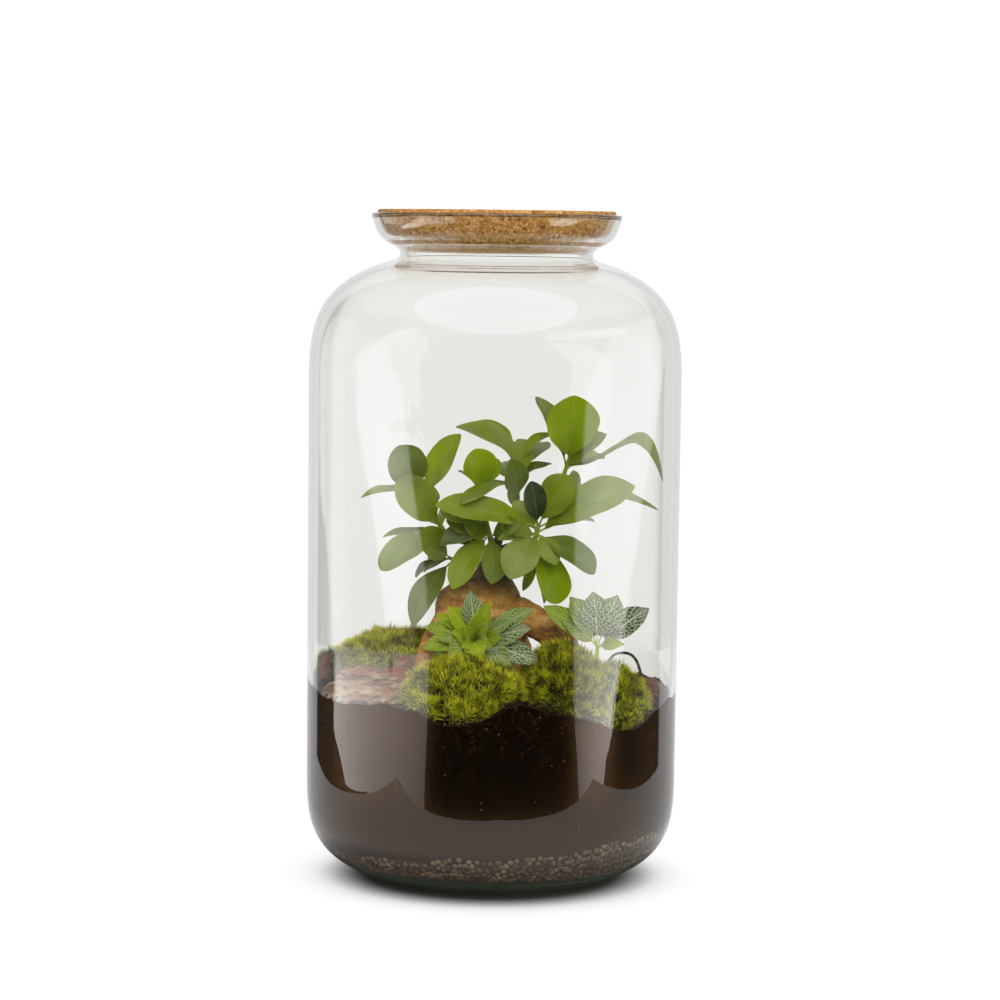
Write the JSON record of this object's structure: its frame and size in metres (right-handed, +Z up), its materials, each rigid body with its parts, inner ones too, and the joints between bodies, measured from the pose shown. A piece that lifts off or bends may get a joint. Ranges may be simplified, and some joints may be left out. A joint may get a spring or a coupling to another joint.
{
  "type": "glass plant terrarium",
  "caption": "Closed glass jar with a cork lid, planted with a ginseng fig, nerve plants and moss cushions on dark soil over a thin drainage bed.",
  "frame": {"origin": "centre of the jar's foot, on the surface that it stands on", "axes": "+Z up, -Y towards the front"},
  "size_m": [0.23, 0.23, 0.4107],
  "materials": {
    "glass": "clear blown glass",
    "cork": "pressed cork granules",
    "clay": "rough fired clay pellets",
    "soil": "moist peat compost",
    "fig_bark": "smooth bark with fine cracks",
    "fig_leaf": "waxy leaf",
    "nerve_leaf": "dark leaf with pale veins",
    "moss": "tufted cushion moss",
    "loose_bark": "weathered bark",
    "dead_stem": "dry stem"
  },
  "bodies": {
    "root": {"jar": "glass", "cork_lid": "cork", "drainage_pellets": "clay", "soil": "soil", "fig_trunk": "fig_bark", "fig_shoot_right": "fig_leaf", "fig_shoot_middle": "fig_leaf", "fig_shoot_left": "fig_leaf", "fig_shoot_low_left": "fig_leaf", "fig_shoot_top": "fig_leaf", "fig_shoot_top_right": "fig_leaf", "nerve_plant_front": "nerve_leaf", "nerve_plant_right": "nerve_leaf", "bark_front": "loose_bark", "bark_rear": "loose_bark", "bark_point": "loose_bark", "bark_red_chip": "loose_bark", "bark_flat_chip": "loose_bark", "bark_left_strip": "loose_bark", "moss_front": "moss", "moss_right": "moss", "moss_back_left": "moss", "moss_left_edge": "moss", "dead_stem": "dead_stem"}
  },
  "joints": []
}
